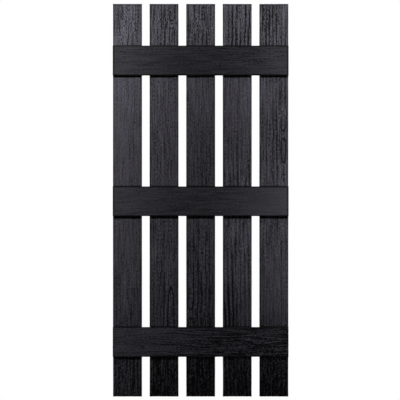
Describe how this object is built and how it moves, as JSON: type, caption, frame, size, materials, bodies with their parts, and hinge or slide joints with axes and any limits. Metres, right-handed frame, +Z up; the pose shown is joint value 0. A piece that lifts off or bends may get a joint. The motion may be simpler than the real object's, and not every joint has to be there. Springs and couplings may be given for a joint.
{
  "type": "board and batten shutter",
  "caption": "Open board and batten window shutter: spaced upright boards held by level battens across their fronts, with a flat back that fixes to a wall.",
  "frame": {"origin": "on the wall plane, at the middle of the centre board's back face", "axes": "+Z up along the boards, +X along the battens to the right as seen from the front, +Y into the wall; the front faces -Y"},
  "size_m": [0.5332, 0.038, 1.1938],
  "materials": {
    "black_boards": "satin",
    "black_battens": "satin",
    "screws": "satin"
  },
  "bodies": {
    "root": {"board_1": "black_boards", "board_2": "black_boards", "board_3": "black_boards", "board_4": "black_boards", "board_5": "black_boards", "top_batten": "black_battens", "middle_batten": "black_battens", "bottom_batten": "black_battens"}
  },
  "joints": []
}
